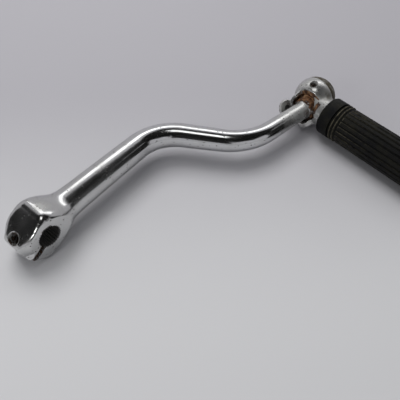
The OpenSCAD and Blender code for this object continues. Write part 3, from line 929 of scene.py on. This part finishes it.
def gripProfile():
    # (along, radius) of the sleeve before its ribs: out over the outside and back through the bore
    length, collar, flange, lip = grip["length"], grip["collarLen"], grip["flangeLen"], grip["endRound"]
    core = grip["ribTop"] - grip["ribDeep"]
    t = np.unique(np.concatenate([
        np.linspace(0, 2, 9), np.linspace(2, collar - 0.4, 6), np.linspace(collar - 0.2, collar + 8, 34),
        np.linspace(collar + 8, length - 7, 16), np.linspace(length - 7, length, 24)]))
    r = np.where(t < collar, grip["collarR"], core)
    r = np.where(length - t < flange, grip["flangeR"], r)
    for past, radius in ((t, grip["collarR"]), (length - t, grip["flangeR"])):
        edge = radius - lip + np.sqrt(np.maximum(lip ** 2 - (lip - past) ** 2, 0))
        r = np.where(past < lip, edge, r)
    for at, high in grip["ridges"]:
        r = np.maximum(r, core + (grip["ribDeep"] + high) * np.exp(-((t - at) / grip["ridgeWide"]) ** 4))
    headTo = length - flange + 0.1
    headFrom = headTo - 0.1 - grip["headLen"]
    pocket = [(headTo + 0.01, grip["inner"]), (headTo, grip["headR"]),
              (headFrom + 0.01, grip["headR"]), (headFrom, grip["inner"])]
    return [(0.0, grip["inner"]), *zip(t, r), (length, grip["inner"]), *pocket]


def ribRule(values):
    tree, given = newRule("ribbedSleeve", values, takes="Sleeve")
    place = add(tree, "ShaderNodeSeparateXYZ", {0: add(tree, "GeometryNodeInputPosition").outputs[0]}).outputs

    def ramp(value, low, high):
        return span(tree, value, low, high, kind="SMOOTHSTEP")

    angle = maths(tree, "ARCTAN2", place["Y"], place["X"])
    turn = times(tree, angle, maths(tree, "DIVIDE", given["Ribs"], 2 * math.pi))
    share = maths(tree, "SUBTRACT", maths(tree, "FRACT", plus(tree, turn, 100.0)), 0.5)
    share = times(tree, maths(tree, "ABSOLUTE", share), 2.0)     # 0 in a rib's middle, 1 in a gap's
    rib = ramp(share, plus(tree, given["Rib Share"], grip["ribSoft"]),
               maths(tree, "SUBTRACT", given["Rib Share"], grip["ribSoft"]))
    fade = grip["ribFade"] * mm
    long = times(tree, ramp(place["Z"], given["Rib Start"], plus(tree, given["Rib Start"], fade)),
                 ramp(place["Z"], given["Rib End"], maths(tree, "SUBTRACT", given["Rib End"], fade)))
    square = plus(tree, times(tree, place["X"], place["X"]), times(tree, place["Y"], place["Y"]))
    radius = maths(tree, "SQRT", square)
    lift = times(tree, times(tree, rib, long), ramp(radius, *(r * mm for r in grip["ribInside"])))
    grow = maths(tree, "DIVIDE", times(tree, lift, given["Rib Depth"]), most(tree, radius, 0.001))
    move = {0: times(tree, place["X"], grow), 1: times(tree, place["Y"], grow), 2: 0.0}
    offset = add(tree, "ShaderNodeCombineXYZ", move).outputs[0]
    stored = add(tree, "GeometryNodeStoreNamedAttribute", data_type="FLOAT", domain="POINT")
    plug(tree, stored, {"Geometry": given["Sleeve"], "Name": "proud", "Value": lift})
    moved = add(tree, "GeometryNodeSetPosition", {"Geometry": stored.outputs["Geometry"], "Offset": offset})
    endRule(tree, moved.outputs["Geometry"], wornRubber)
    return tree


def paintGrip(piece):
    # dust lies on the ridges and along the ribs' edges, and wears off towards the outer end
    p, dust = pointsOf(piece), grip["dust"]
    lift = np.empty(len(p), np.float32)
    piece.data.attributes["proud"].data.foreach_get("value", lift)
    ring = dust["ridge"] * sum(np.exp(-((p[:, 2] - at - 0.1) / 0.36) ** 2) for at, _ in grip["ridges"])
    ring = ring * (np.hypot(p[:, 0], p[:, 1]) > 10)
    edges = dust["edge"] * (4 * lift * (1 - lift)) ** 2 + dust["rib"] * lift
    left = ease((dust["fadeTo"] - p[:, 2]) / (dust["fadeTo"] - dust["fadeFrom"]))
    fade = dust["least"] + (1 - dust["least"]) * left
    setAttribute(piece, "dust", np.clip(np.maximum(ring, edges), 0, 1) * fade)


def buildGrip():
    profile, sides = gripProfile(), grip["sides"]
    angles = np.linspace(0, 2 * math.pi, sides, endpoint=False)
    points = [(r * np.cos(a), r * np.sin(a), t) for t, r in profile for a in angles]
    sleeve = facedOut(meshObject("gripSleeve", points, ringFaces(len(profile), sides, closed=True)))
    values = {"Ribs": grip["ribs"], "Rib Depth": grip["ribDeep"] * mm, "Rib Share": grip["ribShare"],
              "Rib Start": (grip["collarLen"] + grip["ribFrom"]) * mm,
              "Rib End": (grip["length"] - grip["flangeLen"]) * mm}
    applyRule(sleeve, ribRule(values), values)
    paintGrip(sleeve)
    for v in sleeve.data.vertices:
        u, w, along = v.co / mm
        v.co = Vector(fromKnuckle(u - knuckle["pedalOff"], -(along + grip["start"]), w)) * mm
    facedOut(sleeve)
    shadeSmooth(sleeve, 40)
    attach(sleeve, "pedal")
    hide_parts("grip_rubber")
    return sleeve


gripSleeve = buildGrip()
say("grip")

# the small CAD pieces keep their shapes and get their own finish
for node, finish in (("thrust_washer", rustedSteel), ("retaining_pin", pinSteel),
                     ("detent_ball", springSteel), ("detent_spring", springSteel)):
    data = frame["nodes"][node].data
    data.materials.clear()
    data.materials.append(finish)

# floor, background and light
studio = {
    "floorHalf": 2.5, "floorGap": 0.00005,
    "floor": (0.59, 0.587, 0.597, 1),
    "farFloorShade": (0.40, 0.39, 0.415, 1),     # painted shade: the sheet is painted darker away from the window
    "farWay": (0.754, 0.657, 0.0), "farFrom": -0.07, "farTo": 0.16,
    "background": (0.50, 0.495, 0.515, 1),
    "skyLight": (0.95, 0.97, 1.0, 1), "skyStrength": 0.34,
}
lamps = {         # size and place in metres; a lamp without an aim looks straight down
    "windowLight": {"size": (1.5, 0.42), "strength": 1.9, "place": (0.939, 0.353, 0.95), "turn": -48.9},
    "stripLight": {"size": (0.29, 0.4), "strength": 1.9, "place": (-0.05, 0.0, 0.95), "turn": 31.3},
    "farWindow": {"size": (0.16, 0.16), "strength": 9.0, "place": (-0.65, -0.01, 0.49),
                  "aim": (0.208, -0.063, 0)},
    "roomLight": {"size": (0.6, 0.6), "strength": 5.6, "place": (0.25, 0.45, 0.9), "aim": (0.1, -0.03, 0)},
}
darkPanels = {     # the unlit side of the room, which only the chrome's reflections see
    "darkCeiling": ((-1.6, -1.5, 1.1), (1.6, -1.5, 1.1), (1.6, 0.5, 1.1), (-1.6, 0.5, 1.1)),
    "darkLeft": ((-0.95, -1.2, 0.30), (-0.95, 1.25, 0.30), (-0.95, 1.25, 1.1), (-0.95, -1.2, 1.1)),
    "darkFront": ((-0.95, -1.3, 0.82), (1.6, -1.3, 0.82), (1.6, -1.3, 1.1), (-0.95, -1.3, 1.1)),
    "darkRight": ((0.55, -1.25, -0.018), (1.6, -1.25, -0.018), (1.6, -1.25, 1.1), (0.55, -1.25, 1.1)),
}
darkCloth = {"one": (0.020, 0.020, 0.018, 1), "two": (0.012, 0.012, 0.010, 1), "scale": 20, "roughness": 0.9}


def buildFloor():
    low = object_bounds()[0][2]
    far, z = studio["floorHalf"] / mm, (low - studio["floorGap"]) / mm
    corners = [(-far, -far, z), (far, -far, z), (far, far, z), (-far, far, z)]
    floor = meshObject("floor", corners, [(0, 1, 2, 3)])
    mat, tree, skin = newMaterial("paleCloth")
    where = objectCoords(tree)
    cloud = noise(tree, where, 9, 2)
    # painted shade: the floor's colour darkens towards the far side, with a noisy edge
    depth = add(tree, "ShaderNodeVectorMath", {0: where, 1: studio["farWay"]}, operation="DOT_PRODUCT")
    depth = plus(tree, depth.outputs["Value"], span(tree, cloud, 0.3, 0.7, -0.006, 0.006))
    share = span(tree, depth, studio["farFrom"], studio["farTo"], kind="SMOOTHSTEP")
    plug(tree, skin, {"Base Color": blend(tree, share, studio["floor"], studio["farFloorShade"]),
                      "Roughness": 0.8, "Specular IOR Level": 0.2})
    floor.data.materials.append(mat)


def buildWorld():
    # the camera and reflections see the plain background, and the floor is lit by a softer sky
    world = bpy.data.worlds.new("paleRoom")
    bpy.context.scene.world = world
    world.use_nodes = True
    tree = world.node_tree
    tree.nodes.clear()
    ray = add(tree, "ShaderNodeLightPath").outputs
    seen = most(tree, ray["Is Camera Ray"], ray["Is Glossy Ray"], ray["Is Transmission Ray"])
    sky = {"Color": studio["skyLight"], "Strength": studio["skyStrength"]}
    lit = add(tree, "ShaderNodeBackground", sky).outputs[0]
    shown = add(tree, "ShaderNodeBackground", {"Color": studio["background"], "Strength": 1.0}).outputs[0]
    mixed = add(tree, "ShaderNodeMixShader", {0: seen, 1: lit, 2: shown}).outputs[0]
    add(tree, "ShaderNodeOutputWorld", {0: mixed})


def buildLamp(name, lamp):
    data = bpy.data.lights.new(name, "AREA")
    data.shape = "RECTANGLE"
    wide, high = lamp["size"]
    data.size, data.size_y = wide, high
    data.energy = lamp["strength"] * wide * high * math.pi
    obj = linked(bpy.data.objects.new(name, data))
    obj.location = lamp["place"]
    obj.rotation_euler = (0, 0, math.radians(lamp.get("turn", 0)))
    if "aim" in lamp:
        away = Vector(lamp["aim"]) - Vector(lamp["place"])
        obj.rotation_euler = away.to_track_quat("-Z", "Y").to_euler()
    obj.visible_glossy = name != "roomLight"    # the room's soft light isn't mirrored


def darkMaterial(name):
    mat, tree, skin = newMaterial(name)
    grain = noise(tree, objectCoords(tree), darkCloth["scale"], 2)
    plug(tree, skin, {"Base Color": blend(tree, grain, darkCloth["one"], darkCloth["two"]),
                      "Roughness": darkCloth["roughness"]})
    return mat


def buildPanel(name, corners):
    if name == "darkCeiling":     # it runs along the window
        turn = math.radians(lamps["windowLight"]["turn"])
        corners = [(x * math.cos(turn) - y * math.sin(turn), x * math.sin(turn) + y * math.cos(turn), z)
                   for x, y, z in corners]
    card = meshObject(name, np.array(corners) / mm, [(0, 1, 2, 3)], darkMaterial(name + "Cloth"))
    card.visible_camera = False
    card.visible_shadow = False
    card.visible_diffuse = False


buildFloor()
buildWorld()
for name, lamp in lamps.items():
    buildLamp(name, lamp)
for name, corners in darkPanels.items():
    buildPanel(name, corners)
say("studio")
